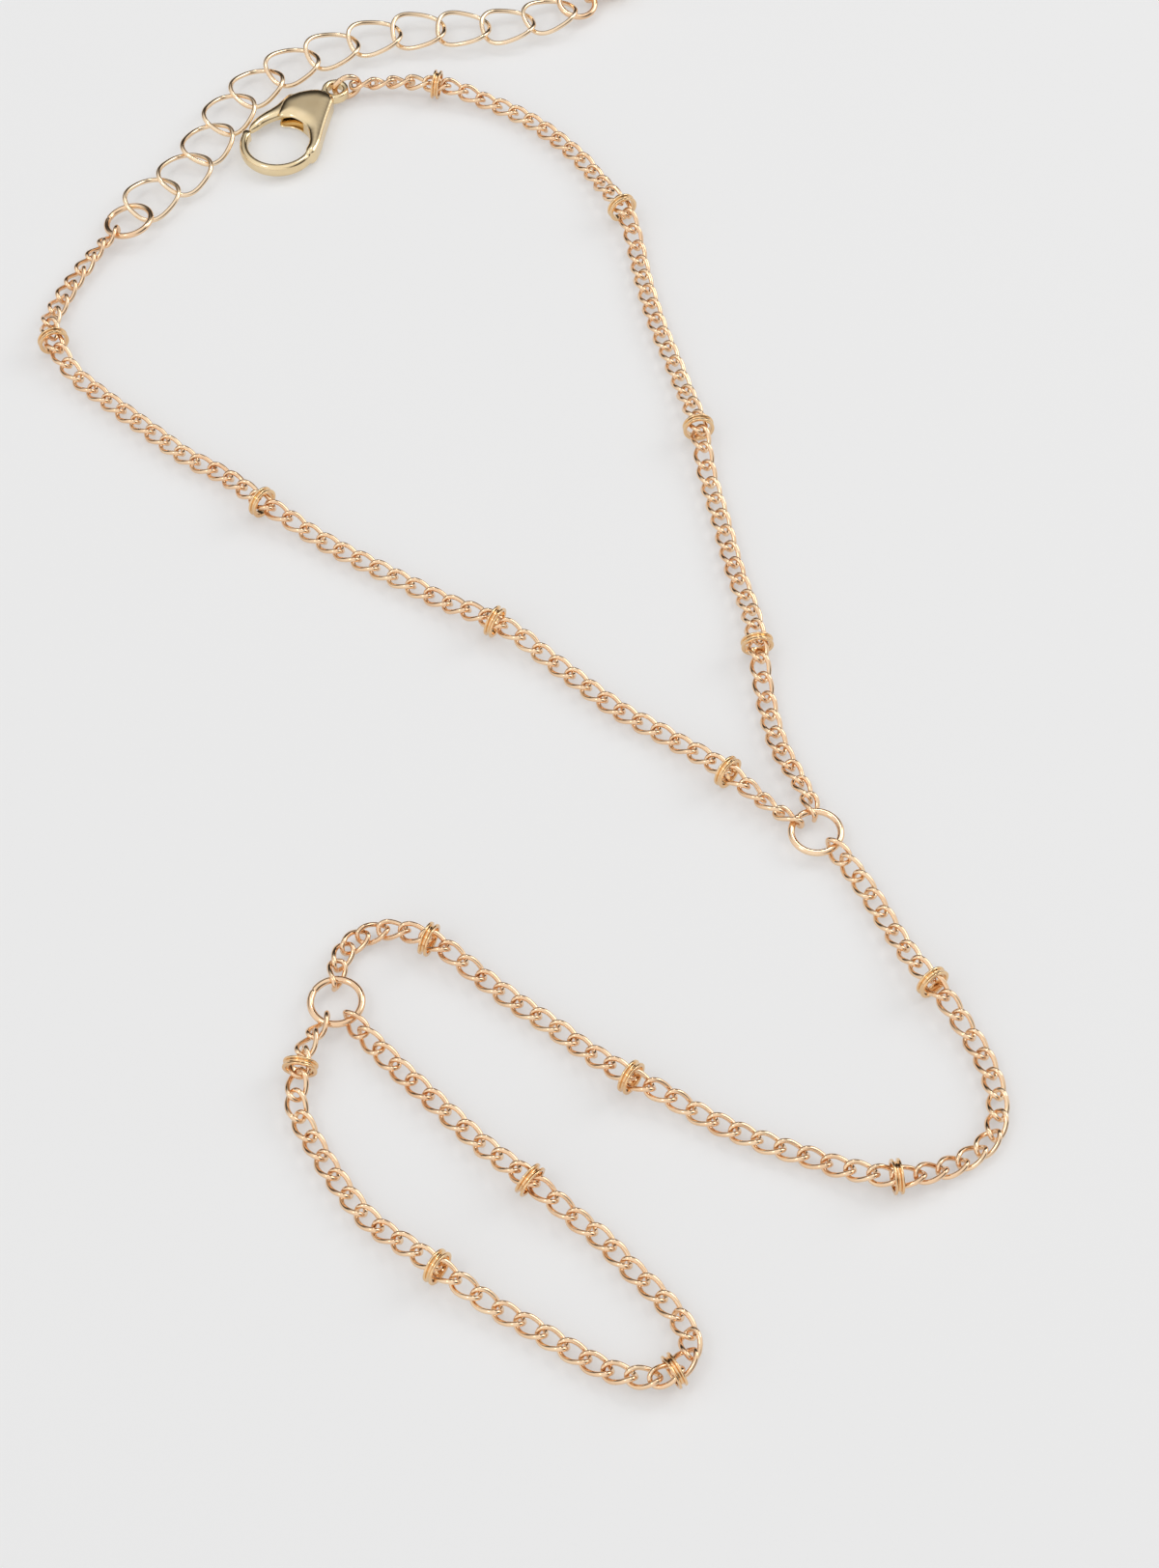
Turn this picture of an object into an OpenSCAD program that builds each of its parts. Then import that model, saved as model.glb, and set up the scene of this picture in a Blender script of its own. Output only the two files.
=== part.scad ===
// Hand chain bracelet, laid out on a table: a wrist chain, a chain over the hand and a finger loop.
// Millimetres, x to the right, y away, z up, origin under the middle of the laid-out piece.

/* [Fine chain] */
// Wire of a fine curb link
wire = 0.28; // [0.24:0.02:0.3]
// Radius of the rounded ends of a fine link
bow = 0.64; // [0.62:0.01:0.66]
// Straight stretch between the two rounded ends
straight = 0.56; // [0.54:0.02:0.6]
// Angle that each end of a link is twisted out of the flat
twist = 38; // [36:1:42]
// Links from the extender ring to the centre ring
left_links = 54; // [54:1:56]
// Links from the clasp to the centre ring
right_links = 57; // [56:1:58]
// Links from the centre ring to the finger ring
hand_links = 50; // [49:1:51]
// Links of the finger loop
finger_links = 47; // [47:1:49]

/* [Extender] */
// Wire of an extender link
extender_wire = 0.36; // [0.3:0.02:0.4]
// Radius of the rounded ends of an extender link
extender_bow = 1.66; // [1.6:0.02:1.7]
// Links of the extender
extender_links = 12; // [10:1:12]

/* [Beads and rings] */
// Outer diameter of a grooved bead
bead_d = 2.3; // [2.2:0.05:2.5]
// Bore of a bead, through which the chain passes
bead_bore = 1.8; // [1.76:0.02:1.9]
// Length of a bead along the chain
bead_t = 0.62; // [0.5:0.02:0.7]
// Outer diameter of the rings that join the strands
ring_d = 3.4; // [3.3:0.05:3.6]
// Wire of those rings
ring_wire = 0.42; // [0.36:0.02:0.46]

/* [Clasp] */
// Thickness of the clasp
clasp_t = 1.5; // [1.5:0.1:1.8]
// Radius of the clasp's hook, along the middle of its metal
hook_r = 2.45; // [2.4:0.05:2.5]
// Width of the hook's metal
hook_w = 0.6; // [0.55:0.05:0.7]

/* [Hidden] */
$fn = 32;

rose = [0.87, 0.68, 0.55];
pale = [0.9, 0.78, 0.64];

// How far a curve is cut between two of its points
steps = 10;
// Extra length that a bend takes up, per radian, where links crowd together
slack = 0.32;
// Height of a resting strand's middle, and how far its links lean to either side
rest = 0.64;
wobble = 4;
// Lift of a strand where it runs through a bead, a ring and the clasp's ring, and its reach in links
bead_lift = bead_d / 2 - rest + 0.03;
ring_z = 0.8;
clasp_ring_z = 1.1;
lift_reach = 3.3;
// Roll of the last link at a flat ring, eased out over four links
end_roll = 45;
// From the middle of a ring's wire to the middle of the fine link on it
join = 0.415;
// The same for an extender link
extender_join = 1.15;
ring_r = (ring_d - ring_wire) / 2;
extender_ring_r = 1.56;
extender_ring_z = 0.9;
extender_ring_tilt = -12;
end_ring_r = 1.3;
// The upright ring in the clasp's eye: its middle lies this far beyond the eye's
clasp_ring_r = 0.9;
clasp_ring_wire = 0.4;
clasp_ring_off = 0.88;
clasp_ring_turn = 20;

// Middle of the footprint as the courses below are written: the piece is moved by it, onto the origin
middle = [-0.25, 0.79];
function laid(x, y, z) = [x - middle.x, y - middle.y, z];

// Where the rings lie
centre = [19.9, -19.0];
finger_end = [-8.3, -30.7];
extender_start = [-25.3, 31.2];

// Each strand's course, as points that it passes
left_course = [extender_start, [-26.4, 29.8], [-27.9, 27.3], [-29.2, 24.4], [-29.8, 21.3],
    [-28.4, 18.1], [-26.2, 15.8], [-22.9, 12.9], [-19.9, 10.3], [-17.4, 8.7], [-14.7, 6.1],
    [-12.2, 4.4], [-9.8, 2.7], [-7.2, 1.1], [-4.1, -0.8], [-1.8, -2.2], [0.4, -3.5], [2.6, -5.0],
    [5.4, -7.5], [8.2, -10.0], [11.3, -12.1], [14.8, -15.0], [16.3, -16.4], [17.8, -17.6], centre];
right_course = [[-11.64, 43.83], [-10.0, 44.4], [-7.1, 44.7], [-4.5, 44.3], [-2.8, 43.9], [-0.1, 42.7],
    [2.2, 41.2], [4.2, 39.3], [6.0, 37.1], [7.4, 34.6], [8.8, 31.9], [9.5, 29.4], [10.1, 25.7],
    [11.0, 21.7], [12.2, 17.7], [13.4, 13.0], [14.0, 8.9], [14.8, 5.0], [15.6, 0.9], [16.4, -2.2],
    [16.8, -5.3], [17.1, -8.4], [17.8, -12.3], [18.9, -15.0], [19.6, -16.8], centre];
hand_course = [centre, [21.1, -20.4], [22.6, -22.8], [23.8, -25.2], [25.2, -28.1], [26.6, -30.3],
    [27.6, -31.9], [28.8, -34.3], [29.4, -37.1], [28.8, -39.5], [26.6, -41.2], [23.6, -42.1],
    [21.1, -41.6], [18.8, -40.7], [16.1, -39.7], [13.5, -38.5], [10.8, -36.9], [8.9, -36.0],
    [6.7, -34.4], [4.5, -32.5], [2.1, -30.7], [-0.2, -28.8], [-2.4, -27.1], [-4.2, -26.2],
    [-5.8, -25.9], [-7.2, -26.4], [-8.1, -27.6], [-8.4, -29.2], finger_end];
finger_course = [finger_end, [-7.0, -32.4], [-5.0, -34.6], [-3.1, -36.5], [-1.2, -38.4],
    [0.9, -40.5], [3.2, -42.5], [5.2, -44.2], [6.9, -45.6], [8.4, -47.3], [10.1, -49.1],
    [11.3, -50.7], [11.7, -52.1], [11.1, -53.4], [9.7, -54.0], [7.5, -53.5], [5.5, -52.4],
    [3.1, -50.9], [0.9, -49.6], [-1.6, -47.9], [-3.4, -46.5], [-5.8, -44.6], [-7.5, -42.5],
    [-9.0, -40.1], [-10.2, -37.7], [-10.2, -35.9], [-9.9, -34.1], [-9.2, -32.5], finger_end];
extender_course = [extender_start, [-24.0, 33.3], [-21.8, 35.8], [-20.3, 38.9], [-18.9, 42.0],
    [-16.9, 44.8], [-14.2, 47.0], [-11.2, 48.6], [-8.0, 49.8], [-4.6, 50.3], [-1.2, 50.4],
    [1.3, 50.9], [3.7, 51.9], [5.8, 53.3], [7.6, 55.2], [9.1, 57.6]];

// A smooth curve through four points, between the middle two
function between(a, b, c, d, t) =
    (2 * b + (c - a) * t + (2 * a - 5 * b + 4 * c - d) * t * t + (3 * b - a - 3 * c + d) * t * t * t) / 2;
function trace(p) = let (last = len(p) - 1) [
    for (i = [0:last - 1], j = [0:steps - 1])
        between(p[max(i - 1, 0)], p[i], p[i + 1], p[min(i + 2, last)], j / steps),
    p[last]];
// One step of a traced curve, with the slack of its bend
function bend(t, i) = i == 0 ? 0 : let (u = t[i] - t[i - 1], v = t[i + 1] - t[i]) abs(atan2(cross(u, v), u * v));
function stride(t, i) = i + 1 == len(t) ? 0 : norm(t[i + 1] - t[i]) + slack * bend(t, i) * PI / 180;
function run(t) = [for (i = 0, s = 0; i < len(t); s = s + stride(t, i), i = i + 1) [s, t[i].x, t[i].y]];

// A strand: its curve against length, the lengths of its first and last link, its number of links,
// its lifts as [link number, rise], and the roll of its first and last link
function strand(course, first, last, count, lifts, rolls) =
    let (r = run(trace(course)), full = r[len(r) - 1][0])
    [[for (q = r) [q[0], q[1]]], [for (q = r) [q[0], q[2]]], first, full - last, count, lifts, rolls];
function total(v, i = 0) = i == len(v) ? 0 : v[i] + total(v, i + 1);
function bump(t) = abs(t) < 1 ? pow(1 - t * t, 2) : 0;
function height(s, i) = rest + total([for (l = s[5]) l[1] * bump((i - l[0]) / lift_reach)]);
function spot(s, i) =
    let (d = s[2] + (s[3] - s[2]) * i / (s[4] - 1)) laid(lookup(d, s[0]), lookup(d, s[1]), height(s, i));
function roll(s, i) =
    wobble * sin(137 * i) + s[6][0] * max(0, 1 - i / 4) + s[6][1] * max(0, 1 - (s[4] - 1 - i) / 4);

// Numbers of the links that run through a bead, along each strand
left_beads = [7.9, 23, 36.1, 49.5];
right_beads = [4, 18, 33.3, 46.7];
hand_beads = [7.7, 20.5, 32.4, 43.3];
finger_beads = [10.3, 21.6, 32.4, 43.8];

function lifts(beads, ends) = concat([for (b = beads) [b, bead_lift]], ends);
ring_lift = ring_z - rest;
clasp_lift = 0.4;
left = strand(left_course, extender_ring_r + join, ring_r + join, left_links,
    lifts(left_beads, [[0, extender_ring_z - rest], [left_links - 1, ring_lift]]), [end_roll, -end_roll]);
right = strand(right_course, clasp_ring_off + clasp_ring_r + join, ring_r + join, right_links,
    lifts(right_beads, [[0, clasp_lift], [right_links - 1, ring_lift]]), [-end_roll, -end_roll]);
hand = strand(hand_course, ring_r + join, ring_r + join, hand_links,
    lifts(hand_beads, [[0, ring_lift], [hand_links - 1, ring_lift]]), [end_roll, -end_roll]);
finger = strand(finger_course, ring_r + join, ring_r + join, finger_links,
    lifts(finger_beads, [[0, ring_lift], [finger_links - 1, ring_lift]]), [end_roll, -end_roll]);

// Sets its children on a strand at a link number, along the strand
module on(s, i) {
    p = spot(s, i);
    d = spot(s, i + 0.3) - spot(s, i - 0.3);
    translate(p)
        rotate([0, -asin(d.z / norm(d)), atan2(d.y, d.x)])
            children();
}

module ring(r, d, angle = 360) {
    rotate_extrude(angle = angle)
        translate([r, 0])
            circle(d = d);
}

// A curb link: two half rings twisted apart, two straight sides and rounded corners
module link(bow, straight, twist, d) {
    reach = bow * cos(twist);
    drop = -bow * sin(twist);
    side = norm([straight, 2 * drop]);
    union() {
        for (end = [0, 180])
            rotate([0, 0, end])
                translate([straight / 2, 0, 0])
                    rotate([-twist, 0, 0])
                        rotate([0, 0, -90])
                            ring(bow, d, 180);
        for (s = [-1, 1]) {
            translate([0, s * reach, 0])
                rotate([0, -s * atan(2 * drop / straight), 0])
                    rotate([0, 90, 0])
                        cylinder(d = d, h = side, center = true);
            for (x = [-1, 1])
                translate([x * straight / 2, s * reach, s * x * drop])
                    sphere(d = d * 1.08);
        }
    }
}

module fine_chain(s) {
    color(rose)
        for (i = [0:s[4] - 1])
            on(s, i)
                rotate([roll(s, i), 0, 0])
                    link(bow, straight, twist, wire);
}

// A bead: a short tube with two proud edges and a groove between them
module bead(s, i, pitch = 0, yaw = 0) {
    groove = 0.1;
    edge = 0.18;
    r = bead_d / 2;
    t = bead_t / 2;
    color(rose)
        on(s, i)
            rotate([0, 90 + pitch, yaw])
                rotate_extrude()
                    polygon([[bead_bore / 2, -t], [r - 0.05, -t], [r, 0.05 - t], [r, edge - t],
                        [r - groove, edge + 0.06 - t], [r - groove, t - edge - 0.06], [r, t - edge],
                        [r, t - 0.05], [r - 0.05, t], [bead_bore / 2, t]]);
}

module wrist_chain_left() fine_chain(left);
module wrist_chain_right() fine_chain(right);
module hand_chain() fine_chain(hand);
module finger_chain() fine_chain(finger);

// The extender: larger links at an even pitch, the first and last rolled a little onto their rings
extender_pitch = 3.3;
extender_twist = 19;
extender_straight = 0.62;
extender_z = 0.9;
extender = strand(extender_course, 0, 0, 2, [], [0, 0]);
function extender_spot(d) = [lookup(d, extender[0]), lookup(d, extender[1])];
function extender_heading(d) = let (v = extender_spot(d + 1) - extender_spot(d - 1)) atan2(v.y, v.x);
extender_from = extender_ring_r + extender_join;
extender_to = extender_from + extender_pitch * (extender_links - 1);
end_ring_at = extender_to + extender_join + end_ring_r;

// Sets its children on the extender's course at a length along it
module on_extender(d, z) {
    p = extender_spot(d);
    translate(laid(p.x, p.y, z))
        rotate([0, 0, extender_heading(d)])
            children();
}

module extender_chain() {
    color(rose)
        for (i = [0:extender_links - 1]) {
            ended = i == 0 ? -1 : i == extender_links - 1 ? 1 : 0;
            near = i == 1 ? -1 : i == extender_links - 2 ? 1 : 0;
            lean = -4 * ended - 2 * near + (ended == 0 && near == 0 ? 2 * sin(150 * i) : 0);
            on_extender(extender_from + extender_pitch * i, extender_z)
                rotate([lean, 0, 0])
                    link(extender_bow, extender_straight, extender_twist, extender_wire);
        }
}

module flat_ring(at) {
    color(rose)
        translate(laid(at.x, at.y, ring_z))
            ring(ring_r, ring_wire);
}
module centre_ring() flat_ring(centre);
module finger_ring() flat_ring(finger_end);
module extender_ring() {
    color(rose)
        on_extender(0.5, extender_ring_z)
            translate([-0.5, 0, 0])
                rotate([extender_ring_tilt, 0, 0])
                    ring(extender_ring_r, ring_wire);
}
module extender_end_ring() {
    color(rose)
        on_extender(end_ring_at, extender_ring_z)
            rotate([-extender_ring_tilt, 0, 0])
                ring(end_ring_r, ring_wire);
}

// A small ball with its loop, upright round the far side of the end ring
drop_d = 2.6;
drop_loop_r = 0.6;
drop_loop_wire = 0.3;
module end_drop() {
    color(rose)
        on_extender(end_ring_at, 0)
            translate([end_ring_r + 0.1, 0, 0]) {
                translate([0, 0, extender_ring_z])
                    rotate([90, 0, 0])
                        ring(drop_loop_r, drop_loop_wire);
                translate([drop_loop_r + drop_d / 2 - 0.1, 0, drop_d / 2])
                    sphere(d = drop_d);
            }
}

// The clasp lies flat, the middle of its hook's opening here, its tail turned this far to the right
clasp_at = [-15.4, 38.65];
clasp_turn = -36;
// Its pivot and its tail eye, seen from the middle of the opening
pivot = [-0.6, 3.7];
eye = [0, 6.4];
pin_d = 0.5;
pin_gap = 0.05;
// Lever and the slot that it turns in
lever_t = 0.7;
slot_t = 0.9;
hub_room_r = 0.95;
// Tail eye: thin enough for the clasp's ring to turn round it
eye_t = 0.7;
eye_z = 0.6;
eye_r = 0.95;
eye_hole_r = 0.55;
// Outline of the shoulder, clockwise from the foot of its left cheek
shoulder = [[-1.5, 1.95], [-2.05, 2.9], [-2.2, 3.65], [-1.9, 4.5], [-1.35, 5.2], [-0.75, 5.65],
    [0.0, 5.75], [0.55, 5.5], [0.9, 4.8], [1.5, 3.5], [1.95, 2.6], [2.45, 1.6], [2.75, 0.6],
    [2.45, 0.2], [2.12, 0.5], [1.9, 1.1], [1.5, 1.65], [0.9, 2.2], [0.1, 2.4], [-0.75, 2.3]];
// Outline of the lever, closed: its tip, its outer edge, its thumb tab, its hub and its inner edge
lever_edge = [[-2.5, -0.2], [-2.8, 0.3], [-2.88, 1.1], [-2.75, 1.9], [-2.55, 2.8], [-2.55, 3.6],
    [-2.5, 4.3], [-2.05, 4.55], [-1.55, 4.4], [-0.9, 4.35], [-0.35, 4.2], [-0.05, 3.7], [-0.35, 3.15],
    [-0.95, 2.95], [-1.45, 2.5], [-1.85, 1.8], [-2.13, 1.1], [-2.25, 0.3]];
// Where the lever needs room inside the shoulder
slot_edge = [[-0.6, 4.65], [-1.4, 4.9], [-3.2, 5.1], [-3.2, 1.0], [0.25, 1.0], [0.25, 3.2]];

// A closed smooth outline through its points
function closed(p) = let (n = len(p)) [
    for (i = [0:n - 1], j = [0:3])
        between(p[(i + n - 1) % n], p[i], p[(i + 1) % n], p[(i + 2) % n], j / 4)];

module on_clasp() {
    translate(laid(clasp_at.x, clasp_at.y, 0))
        rotate([0, 0, clasp_turn])
            children();
}

// Section of the hook, an upright oval with flats
hook_h = 0.95;
module hook_section() {
    w = hook_w / 2;
    h = hook_h / 2;
    polygon([[w, 0.35 * h], [0.78 * w, 0.8 * h], [0.35 * w, h], [-0.35 * w, h], [-0.78 * w, 0.8 * h],
        [-w, 0.35 * h], [-w, -0.35 * h], [-0.78 * w, -0.8 * h], [-0.35 * w, -h], [0.35 * w, -h],
        [0.78 * w, -0.8 * h], [w, -0.35 * h]]);
}

module clasp_body() {
    nose = 195;
    color(pale)
        on_clasp()
            union() {
                difference() {
                    linear_extrude(clasp_t)
                        polygon(closed(shoulder));
                    translate([0, 0, (clasp_t - slot_t) / 2])
                        linear_extrude(slot_t)
                            union() {
                                polygon(slot_edge);
                                translate(pivot)
                                    circle(r = hub_room_r);
                            }
                }
                translate([pivot.x, pivot.y, 0.2])
                    cylinder(d = pin_d, h = clasp_t - 0.4);
                translate([0, 0, clasp_t / 2])
                    rotate([0, 0, nose])
                        rotate_extrude(angle = 375 - nose)
                            translate([hook_r, 0])
                                hook_section();
                translate([hook_r * cos(nose), hook_r * sin(nose), clasp_t / 2])
                    cylinder(d = hook_w * 1.06, h = hook_h * 0.9, center = true);
                translate([eye.x, eye.y, eye_z])
                    difference() {
                        cylinder(r = eye_r, h = eye_t);
                        translate([0, 0, -1])
                            cylinder(r = eye_hole_r, h = 3);
                    }
            }
}

module clasp_lever() {
    color(pale)
        on_clasp()
            translate([0, 0, (clasp_t - lever_t) / 2])
                difference() {
                    linear_extrude(lever_t)
                        polygon(closed(lever_edge));
                    translate([pivot.x, pivot.y, -1])
                        cylinder(d = pin_d + 2 * pin_gap, h = 3);
                }
}

// The ring in the clasp's eye stands upright, towards the first link of the chain
module clasp_ring() {
    color(rose)
        translate(laid(right_course[0].x, right_course[0].y, clasp_ring_z))
            rotate([0, 0, clasp_ring_turn])
                translate([clasp_ring_off, 0, 0])
                    rotate([90, 0, 0])
                        ring(clasp_ring_r, clasp_ring_wire);
}

module bead_left_1() bead(left, left_beads[0]);
module bead_left_2() bead(left, left_beads[1]);
module bead_left_3() bead(left, left_beads[2], 4, 3);
module bead_left_4() bead(left, left_beads[3], -3);
module bead_right_1() bead(right, right_beads[0], 3);
module bead_right_2() bead(right, right_beads[1], 0, 4);
module bead_right_3() bead(right, right_beads[2], -3, -3);
module bead_right_4() bead(right, right_beads[3], 5);
module bead_hand_1() bead(hand, hand_beads[0], -4, 2);
module bead_hand_2() bead(hand, hand_beads[1], 0, 8);
module bead_hand_3() bead(hand, hand_beads[2], 3, -3);
module bead_hand_4() bead(hand, hand_beads[3], -2, 4);
module bead_finger_1() bead(finger, finger_beads[0], 7);
module bead_finger_2() bead(finger, finger_beads[1], 7, -3);
module bead_finger_3() bead(finger, finger_beads[2], 3, 3);
module bead_finger_4() bead(finger, finger_beads[3], -3);

wrist_chain_left();
wrist_chain_right();
hand_chain();
finger_chain();
extender_chain();
centre_ring();
finger_ring();
extender_ring();
clasp_ring();
clasp_body();
clasp_lever();
extender_end_ring();
end_drop();
bead_left_1();
bead_left_2();
bead_left_3();
bead_left_4();
bead_right_1();
bead_right_2();
bead_right_3();
bead_right_4();
bead_hand_1();
bead_hand_2();
bead_hand_3();
bead_hand_4();
bead_finger_1();
bead_finger_2();
bead_finger_3();
bead_finger_4();
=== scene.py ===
"""Looks of a hand chain bracelet that lies on a pale table.

Smooth curb links, beads, rings and a clasp in pale rose gold lie where the CAD solids lie.
"""

import math

import bmesh
import bpy
import numpy as np
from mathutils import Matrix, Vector
from mathutils.kdtree import KDTree


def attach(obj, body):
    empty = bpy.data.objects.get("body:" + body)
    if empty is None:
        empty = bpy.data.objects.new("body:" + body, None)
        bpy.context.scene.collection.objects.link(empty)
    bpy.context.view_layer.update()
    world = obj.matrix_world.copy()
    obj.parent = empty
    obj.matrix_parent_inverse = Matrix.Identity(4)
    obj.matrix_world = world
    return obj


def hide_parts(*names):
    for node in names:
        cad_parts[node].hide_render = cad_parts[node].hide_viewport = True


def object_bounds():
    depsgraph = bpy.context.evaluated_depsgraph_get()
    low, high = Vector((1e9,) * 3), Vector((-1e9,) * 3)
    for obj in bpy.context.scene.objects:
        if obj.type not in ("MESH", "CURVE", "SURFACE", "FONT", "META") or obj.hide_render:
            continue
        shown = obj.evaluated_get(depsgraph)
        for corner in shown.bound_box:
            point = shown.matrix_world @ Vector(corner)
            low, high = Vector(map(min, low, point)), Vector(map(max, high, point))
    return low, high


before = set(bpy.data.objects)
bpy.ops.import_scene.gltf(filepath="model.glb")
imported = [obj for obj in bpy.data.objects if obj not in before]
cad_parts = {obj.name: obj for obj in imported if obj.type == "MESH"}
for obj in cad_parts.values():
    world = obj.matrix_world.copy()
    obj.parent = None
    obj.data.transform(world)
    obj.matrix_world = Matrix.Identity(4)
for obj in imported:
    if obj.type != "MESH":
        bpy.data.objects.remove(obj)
CAD_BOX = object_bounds()

MM = 0.001

# Camera

CAMERA_AT = (5.99 * MM, -120.82 * MM, 155.72 * MM)
# Degrees below the horizon
LOOK_DOWN = 56.0
SENSOR_HEIGHT = 24.0
# The photo's focal length in pixels, and its height
FOCAL_PX, PHOTO_HEIGHT = 3200.0, 1624.0
CLIP_START = 5.0 * MM


def make_camera():
    data = bpy.data.cameras.new("camera")
    data.sensor_fit = "VERTICAL"
    data.sensor_height = SENSOR_HEIGHT
    data.lens = SENSOR_HEIGHT * FOCAL_PX / PHOTO_HEIGHT
    data.clip_start = CLIP_START
    camera = bpy.data.objects.new("camera", data)
    camera.location = CAMERA_AT
    camera.rotation_euler = (math.radians(90.0 - LOOK_DOWN), 0.0, 0.0)
    bpy.context.scene.collection.objects.link(camera)
    bpy.context.scene.camera = camera


# Materials

# How fine the clouds of tone and of polish are, and their detail
CLOUD_SCALE, CLOUD_DETAIL = 420.0, 4.0
POLISH_SCALE, POLISH_DETAIL = 2600.0, 3.0
# The part of a noise's range that is spread over two tones, or over the roughness
NOISE_LOW, NOISE_HIGH = 0.3, 0.7
# The noise of the scratches is drawn out along y by this scale; then its detail and their depth
SCRATCH_STRETCH, SCRATCH_DETAIL, SCRATCH_DEPTH = 0.25, 5.0, 0.01 * MM


def plated(name, light, deep, rough, grain, wear):
    """Polished plated metal with two close tones, uneven polish and fine scratches.

    The tones are light and deep, rough is the least and the greatest roughness, grain is how fine
    the scratches are and wear how strong.
    """
    material = bpy.data.materials.new(name)
    material.use_nodes = True
    nodes, links = material.node_tree.nodes, material.node_tree.links
    shader = nodes["Principled BSDF"]
    shader.inputs["Metallic"].default_value = 1.0
    coords = nodes.new("ShaderNodeTexCoord")

    def noise(scale, detail, vector):
        texture = nodes.new("ShaderNodeTexNoise")
        texture.inputs["Scale"].default_value = scale
        texture.inputs["Detail"].default_value = detail
        links.new(vector, texture.inputs["Vector"])
        return texture.outputs["Fac"]

    tone = nodes.new("ShaderNodeValToRGB")
    tone.color_ramp.elements[0].position = NOISE_LOW
    tone.color_ramp.elements[0].color = (*deep, 1.0)
    tone.color_ramp.elements[1].position = NOISE_HIGH
    tone.color_ramp.elements[1].color = (*light, 1.0)
    links.new(noise(CLOUD_SCALE, CLOUD_DETAIL, coords.outputs["Object"]), tone.inputs["Fac"])
    links.new(tone.outputs["Color"], shader.inputs["Base Color"])

    spread = nodes.new("ShaderNodeMapRange")
    spread.inputs["From Min"].default_value = NOISE_LOW
    spread.inputs["From Max"].default_value = NOISE_HIGH
    spread.inputs["To Min"].default_value = rough[0]
    spread.inputs["To Max"].default_value = rough[1]
    links.new(noise(POLISH_SCALE, POLISH_DETAIL, coords.outputs["Object"]), spread.inputs["Value"])
    links.new(spread.outputs["Result"], shader.inputs["Roughness"])

    stretch = nodes.new("ShaderNodeMapping")
    stretch.inputs["Scale"].default_value = (1.0, SCRATCH_STRETCH, 1.0)
    links.new(coords.outputs["Object"], stretch.inputs["Vector"])
    bump = nodes.new("ShaderNodeBump")
    bump.inputs["Strength"].default_value = wear
    bump.inputs["Distance"].default_value = SCRATCH_DEPTH
    links.new(noise(grain, SCRATCH_DETAIL, stretch.outputs["Vector"]), bump.inputs["Height"])
    links.new(bump.outputs["Normal"], shader.inputs["Normal"])
    return material


# Where the CAD solids lie

# Metres: points of a CAD mesh closer than this are one point
MERGE_WITHIN = 1e-7


def loose_solids(node):
    """The triangles of each loose solid of a CAD node, as an array of corner points per solid."""
    mesh = bmesh.new()
    mesh.from_mesh(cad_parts[node].data)
    bmesh.ops.remove_doubles(mesh, verts=mesh.verts, dist=MERGE_WITHIN)
    mesh.verts.index_update()
    seen = set()
    solids = []
    for start in mesh.verts:
        if start.index in seen:
            continue
        seen.add(start.index)
        todo, faces = [start], set()
        while todo:
            vertex = todo.pop()
            for face in vertex.link_faces:
                faces.add(face)
                for other in face.verts:
                    if other.index not in seen:
                        seen.add(other.index)
                        todo.append(other)
        solids.append(np.array([[c.co[:] for c in f.verts[:3]] for f in faces]))
    mesh.free()
    return solids


def principal(triangles):
    """Middle of a closed surface and its axes, longest first, weighted by area."""
    centres = triangles.mean(1)
    edge = triangles[:, 1:] - triangles[:, :1]
    area = np.linalg.norm(np.cross(edge[:, 0], edge[:, 1]), axis=1)
    middle = (centres * area[:, None]).sum(0) / area.sum()
    off = centres - middle
    vectors = np.linalg.eigh((off * area[:, None]).T @ off)[1]
    x, z = vectors[:, 2], vectors[:, 0]
    return middle, np.stack([x, np.cross(z, x), z], 1)


# Shapes


def round_angles(count):
    """As many angles as asked for, evenly once round."""
    return np.arange(count) * 2.0 * np.pi / count


def closed_grid(rows, columns):
    """Faces of a grid of points that closes on itself both ways."""
    i, j = np.meshgrid(np.arange(rows), np.arange(columns), indexing="ij")
    below, beside = (i + 1) % rows, (j + 1) % columns
    corners = [i * columns + j, below * columns + j, below * columns + beside, i * columns + beside]
    return np.stack(corners, -1).reshape(-1, 4)


def outward(points, faces):
    """Turns the faces over if they look inwards."""
    quads = points[faces]
    volume = np.einsum("ij,ij->i", quads[:, 0], np.cross(quads[:, 1], quads[:, 2])).sum()
    volume += np.einsum("ij,ij->i", quads[:, 0], np.cross(quads[:, 2], quads[:, 3])).sum()
    return (points, faces) if volume > 0 else (points, faces[:, ::-1])


def curb_path(half_long, half_wide, turn, points, square):
    """Middle line of a curb link: a long ring whose ends are twisted out of the flat opposite ways.

    Each end is twisted by turn degrees, and the lower square is below 1, the squarer the ring is.
    """
    q = round_angles(points)
    c, s = np.cos(q), np.sin(q)
    x = half_long * np.sign(c) * abs(c) ** square
    y = half_wide * np.sign(s) * abs(s) ** square
    t = math.radians(turn) * x / half_long
    return np.stack([x, y * np.cos(t), y * np.sin(t)], 1)


def tube(path, wire, sides, thin=1.0):
    """A wire of the thickness given, along a closed path round the origin.

    The share thin of its thickness may differ from point to point of the path.
    """
    tangent = np.roll(path, -1, 0) - np.roll(path, 1, 0)
    tangent /= np.linalg.norm(tangent, axis=1)[:, None]
    out = path - (path * tangent).sum(1)[:, None] * tangent
    out /= np.linalg.norm(out, axis=1)[:, None]
    up = np.cross(tangent, out)
    a = round_angles(sides)
    ring = out[:, None] * np.cos(a)[None, :, None] + up[:, None] * np.sin(a)[None, :, None]
    radius = np.broadcast_to(wire / 2.0 * thin, len(path))
    points = (path[:, None] + ring * radius[:, None, None]).reshape(-1, 3)
    return outward(points, closed_grid(len(path), sides))


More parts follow.
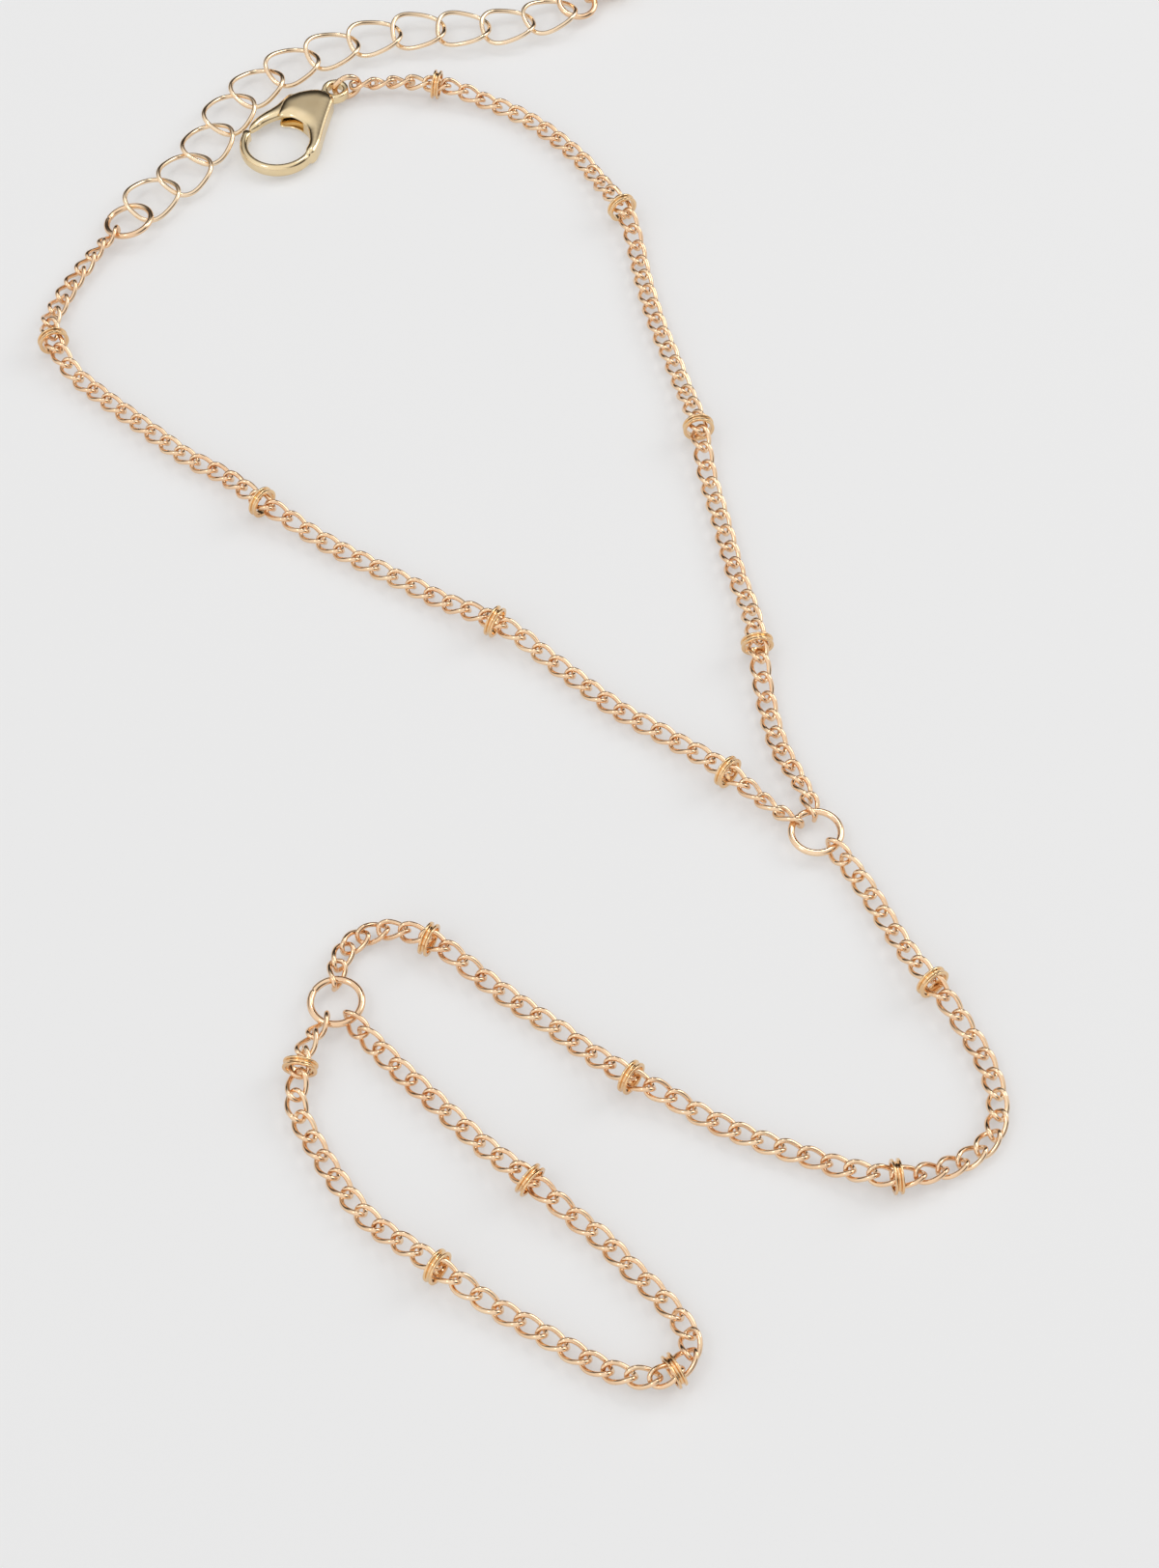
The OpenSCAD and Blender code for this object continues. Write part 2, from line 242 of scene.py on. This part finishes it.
def lathe(profile, segments):
    """A closed profile of (along, radius) turned round the x axis."""
    a = round_angles(segments)
    p = np.array(profile)
    x = np.repeat(p[None, :, 0], segments, 0)
    points = np.stack([x, np.outer(np.cos(a), p[:, 1]), np.outer(np.sin(a), p[:, 1])], -1)
    return outward(points.reshape(-1, 3), closed_grid(segments, len(p)))


def laid(shape, middle, axes):
    """A shape of (points, faces) turned to the axes and moved to the middle."""
    points, faces = shape
    return points @ axes.T + middle, faces


def piece(name, parts, material, nodes, body="bracelet"):
    """One mesh from (points, faces) parts in metres, in place of the CAD nodes and on their body."""
    count, points, faces = 0, [], []
    for p, f in parts:
        points.append(p)
        faces.append(f + count)
        count += len(p)
    mesh = bpy.data.meshes.new(name)
    mesh.from_pydata(np.concatenate(points).tolist(), [], np.concatenate(faces).tolist())
    mesh.validate()
    mesh.shade_smooth()
    mesh.materials.append(material)
    thing = bpy.data.objects.new(name, mesh)
    bpy.context.scene.collection.objects.link(thing)
    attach(thing, body)
    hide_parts(*nodes)


make_camera()

ROSE = plated(
    "rose_plate",
    light=(0.93, 0.695, 0.465),
    deep=(0.86, 0.575, 0.36),
    rough=(0.05, 0.13),
    grain=9000.0,
    wear=0.12,
)
SOFT = plated(
    "extender_plate",
    light=(0.95, 0.76, 0.54),
    deep=(0.89, 0.66, 0.44),
    rough=(0.07, 0.15),
    grain=9000.0,
    wear=0.12,
)
BEAD = plated(
    "bead_plate",
    light=(0.92, 0.66, 0.38),
    deep=(0.83, 0.53, 0.28),
    rough=(0.04, 0.1),
    grain=7000.0,
    wear=0.1,
)
PALE = plated(
    "clasp_plate",
    light=(0.9, 0.74, 0.48),
    deep=(0.82, 0.64, 0.38),
    rough=(0.08, 0.16),
    grain=5000.0,
    wear=0.15,
)

# Chains

# Half a link's length and width to the middle of its wire, its twist, its points, and how square it is
FINE_PATH = curb_path(0.925 * MM, 0.535 * MM, turn=-50.0, points=40, square=0.8)
FINE_LINK = tube(FINE_PATH, wire=0.3 * MM, sides=14)
EXTENDER_PATH = curb_path(1.87 * MM, 1.62 * MM, turn=-17.0, points=72, square=0.78)
EXTENDER_LINK = tube(EXTENDER_PATH, wire=0.33 * MM, sides=18)


def chain(name, node, link, material):
    """Lays the link where each link of the CAD chain lies."""
    placed = [laid(link, *principal(triangles)) for triangles in loose_solids(node)]
    piece(name, placed, material, [node])


for node in ("wrist_chain_left", "wrist_chain_right", "hand_chain", "finger_chain"):
    chain(node + "_links", node, FINE_LINK, ROSE)
chain("extender_links", "extender_chain", EXTENDER_LINK, SOFT)

# Beads

# Millimetres: outer radius, bore radius and half the length of a bead
BEAD_R, BEAD_BORE_R, BEAD_HALF = 1.02, 0.8, 0.26
# Millimetres: depth and half the width of its groove, and the radius of its round edges
GROOVE_DEPTH, GROOVE_HALF, EDGE_ROUND = 0.17, 0.13, 0.05
# Where the groove's curve has points, as shares of its half width
GROOVE_STEPS = (0.2, 0.5, 0.75, 0.9, 1.0)
EDGE_POINTS, BEAD_SEGMENTS = 5, 56


def bead_profile():
    """Section of a bead: round-edged flanges, a soft groove between them and a smooth bore."""
    quarter = np.linspace(0.0, np.pi / 2.0, EDGE_POINTS)
    x, outer, bore = BEAD_HALF - EDGE_ROUND, BEAD_R - EDGE_ROUND, BEAD_BORE_R + EDGE_ROUND
    half = [(GROOVE_HALF * t, BEAD_R - GROOVE_DEPTH * (1.0 - t ** 4)) for t in GROOVE_STEPS]
    half += [(x + EDGE_ROUND * math.sin(t), outer + EDGE_ROUND * math.cos(t)) for t in quarter]
    half += [(x + EDGE_ROUND * math.cos(t), bore - EDGE_ROUND * math.sin(t)) for t in quarter]
    half.append((GROOVE_HALF, BEAD_BORE_R))
    return half + [(-x, r) for x, r in reversed(half)]


BEAD_SHAPE = lathe([(x * MM, r * MM) for x, r in bead_profile()], BEAD_SEGMENTS)

for node in sorted(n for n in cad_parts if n.startswith("bead_")):
    middle, axes = principal(loose_solids(node)[0])
    # A bead is shorter than it is wide, so its bore runs along its least axis
    turned = np.stack([axes[:, 2], axes[:, 0], axes[:, 1]], 1)
    piece(node + "_turned", [laid(BEAD_SHAPE, middle, turned)], BEAD, [node])

# Rings

# Radians: where on a ring the ends of its wire meet, and how far round the line there reaches
SEAM_AT, SEAM_REACH = 4.2, 0.045
# Depth of that line as a share of the wire
SEAM_DEPTH = 0.22
RING_POINTS, RING_SIDES = 160, 20


def wire_ring(radius, wire):
    """A ring of wire with the fine line where its ends meet."""
    a = round_angles(RING_POINTS)
    thin = 1.0 - SEAM_DEPTH * np.exp(-(((a - SEAM_AT) / SEAM_REACH) ** 2))
    path = np.stack([radius * np.cos(a), radius * np.sin(a), 0.0 * a], 1)
    return tube(path, wire, RING_SIDES, thin)


# The slot of each ring
RINGS = {
    "centre_ring": "ring",
    "finger_ring": "ring",
    "clasp_ring": "ring",
    "extender_ring": "extender",
    "extender_end_ring": "extender",
}
for node, slot in RINGS.items():
    triangles = loose_solids(node)[0]
    middle, axes = principal(triangles)
    off = (triangles.reshape(-1, 3) - middle) @ axes
    reach = np.hypot(off[:, 0], off[:, 1])
    shape = wire_ring((reach.max() + reach.min()) / 2.0, reach.max() - reach.min())
    piece(node + "_wire", [laid(shape, middle, axes)], ROSE, [node])

# Clasp

# A casting is remeshed with cubes of this size
VOXEL = 0.06 * MM
# A point whose normal rises or falls less than this lies on a wall
WALL_SLOPE = 0.4
SMOOTHING = 0.5
# Rounds of smoothing after the remesh, and once more after the doming
ROUNDS_CAST, ROUNDS_DOMED = 4, 6


def dome(mesh, start, reach):
    """Lowers the flat faces toward the walls, as polishing rounds a small casting.

    It begins at the height start above and below the middle, and as far in from the walls as reach.
    """
    count = len(mesh.vertices)
    co, normals = np.empty(count * 3), np.empty(count * 3)
    mesh.vertices.foreach_get("co", co)
    mesh.vertices.foreach_get("normal", normals)
    co, normals = co.reshape(-1, 3), normals.reshape(-1, 3)
    middle = (co[:, 2].max() + co[:, 2].min()) / 2.0
    outer = abs(co[:, 2] - middle) > start
    walls = np.flatnonzero((abs(normals[:, 2]) < WALL_SLOPE) & outer)
    tree = KDTree(len(walls))
    for i in walls:
        tree.insert((co[i, 0], co[i, 1], 0.0), int(i))
    tree.balance()
    for i in np.flatnonzero(outer):
        off = co[i, 2] - middle
        share = min(tree.find((co[i, 0], co[i, 1], 0.0))[2] / reach, 1.0)
        rise = (abs(off) - start) * math.sqrt(1.0 - (1.0 - share) ** 2)
        co[i, 2] = middle + math.copysign(start + rise, off)
    mesh.vertices.foreach_set("co", co.ravel())


def soften(mesh, rounds):
    """Evens the surface out between neighbouring points."""
    work = bmesh.new()
    work.from_mesh(mesh)
    every_way = {"use_axis_x": True, "use_axis_y": True, "use_axis_z": True}
    for _ in range(rounds):
        bmesh.ops.smooth_vert(work, verts=work.verts, factor=SMOOTHING, **every_way)
    work.to_mesh(mesh)
    work.free()


def cast(name, node, material, body, doming=None):
    """The node's own shape with its edges rounded off as on a small polished casting."""
    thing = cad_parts[node].copy()
    thing.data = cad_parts[node].data.copy()
    thing.name = name
    thing.data.name = name
    # The copy is a piece of the scene, so it drops what the CAD node's properties say
    for key in list(thing.keys()):
        del thing[key]
    thing.parent = None
    bpy.context.scene.collection.objects.link(thing)
    thing.data.materials.clear()
    thing.data.materials.append(material)
    remesh = thing.modifiers.new("remesh", "REMESH")
    remesh.mode = "VOXEL"
    remesh.voxel_size = VOXEL
    graph = bpy.context.evaluated_depsgraph_get()
    mesh = bpy.data.meshes.new_from_object(thing.evaluated_get(graph), depsgraph=graph)
    thing.modifiers.clear()
    thing.data = mesh
    soften(mesh, ROUNDS_CAST)
    if doming:
        dome(mesh, *doming)
        soften(mesh, ROUNDS_DOMED)
    mesh.shade_smooth()
    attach(thing, body)
    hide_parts(node)


cast("clasp_shell", "clasp_body", PALE, "bracelet", doming=(0.5 * MM, 0.9 * MM))
cast("clasp_gate", "clasp_lever", PALE, "lever", doming=(0.15 * MM, 0.5 * MM))
cast("end_ball", "end_drop", ROSE, "bracelet")

# Table and light

# The table reaches this far each way, and lies this far below the part, so that no faces coincide
TABLE_REACH, TABLE_GAP = 8.0, 0.02 * MM
TABLE_TONE, TABLE_ROUGH, TABLE_SHEEN = 0.6, 0.9, 0.1
# The table is lit through from below as well, so that shadows on it stay faint
TABLE_GLOW = 0.25


def make_table():
    mesh = bpy.data.meshes.new("table")
    r = TABLE_REACH
    mesh.from_pydata([(-r, -r, 0), (r, -r, 0), (r, r, 0), (-r, r, 0)], [], [(0, 1, 2, 3)])
    floor = bpy.data.objects.new("table", mesh)
    floor.location = (0.0, 0.0, CAD_BOX[0][2] - TABLE_GAP)
    bpy.context.scene.collection.objects.link(floor)
    material = bpy.data.materials.new("table_card")
    material.use_nodes = True
    shader = material.node_tree.nodes["Principled BSDF"]
    shader.inputs["Base Color"].default_value = (TABLE_TONE, TABLE_TONE, TABLE_TONE, 1.0)
    shader.inputs["Roughness"].default_value = TABLE_ROUGH
    shader.inputs["Specular IOR Level"].default_value = TABLE_SHEEN
    shader.inputs["Emission Color"].default_value = (1.0, 1.0, 1.0, 1.0)
    shader.inputs["Emission Strength"].default_value = TABLE_GLOW
    mesh.materials.append(material)


def area_light(name, at, size, power):
    """A square softbox that faces the middle of the part."""
    data = bpy.data.lights.new(name, "AREA")
    data.shape = "SQUARE"
    data.size = size
    data.energy = power
    lamp = bpy.data.objects.new(name, data)
    lamp.location = at
    lamp.rotation_euler = (-Vector(at)).to_track_quat("-Z", "Y").to_euler()
    bpy.context.scene.collection.objects.link(lamp)


# Bright sides of the tent: the way each lies, and the cosines to it between which dark turns bright
TENT_TOP = ((-0.15, -0.1, 0.98), 0.36, 0.85)
TENT_FRONT = ((-0.6, -0.8, 0.0), 0.0, 0.7)
TENT_RIGHT = ((0.84, 0.33, 0.43), 0.84, 0.93)
TENT_DARK, TENT_BRIGHT, TENT_STRENGTH = (0.05, 0.045, 0.042), (1.0, 1.0, 1.0), 1.0
# Sockets of a colour mix, whose names other kinds of mix share
MIX_SHARE, MIX_FIRST, MIX_SECOND, MIX_RESULT = 0, 6, 7, 2


def make_world():
    """A light tent: bright overhead, to the front left and in a patch to the right, dark elsewhere."""
    world = bpy.data.worlds.new("studio")
    bpy.context.scene.world = world
    world.use_nodes = True
    nodes, links = world.node_tree.nodes, world.node_tree.links
    background = nodes["Background"]
    coords = nodes.new("ShaderNodeTexCoord")

    def toward(direction, low, high):
        """Rises smoothly from 0 to 1 as the looked-at direction turns toward the given one."""
        dot = nodes.new("ShaderNodeVectorMath")
        dot.operation = "DOT_PRODUCT"
        dot.inputs[1].default_value = direction
        links.new(coords.outputs["Generated"], dot.inputs[0])
        ramp = nodes.new("ShaderNodeMapRange")
        ramp.interpolation_type = "SMOOTHSTEP"
        ramp.inputs["From Min"].default_value = low
        ramp.inputs["From Max"].default_value = high
        links.new(dot.outputs["Value"], ramp.inputs["Value"])
        return ramp.outputs["Result"]

    def brighter(a, b):
        most = nodes.new("ShaderNodeMath")
        most.operation = "MAXIMUM"
        links.new(a, most.inputs[0])
        links.new(b, most.inputs[1])
        return most.outputs["Value"]

    bright = brighter(brighter(toward(*TENT_TOP), toward(*TENT_FRONT)), toward(*TENT_RIGHT))
    mix = nodes.new("ShaderNodeMix")
    mix.data_type = "RGBA"
    mix.inputs[MIX_FIRST].default_value = (*TENT_DARK, 1.0)
    mix.inputs[MIX_SECOND].default_value = (*TENT_BRIGHT, 1.0)
    links.new(bright, mix.inputs[MIX_SHARE])
    links.new(mix.outputs[MIX_RESULT], background.inputs["Color"])
    background.inputs["Strength"].default_value = TENT_STRENGTH


make_table()
make_world()
area_light("key", at=(0.5, 0.25, 0.4), size=0.32, power=0.74)
area_light("glint", at=(0.08, 0.3, 0.5), size=0.08, power=0.14)
area_light("spark", at=(-0.3, -0.15, 0.55), size=0.12, power=0.2)
bpy.context.scene.view_settings.view_transform = "Standard"
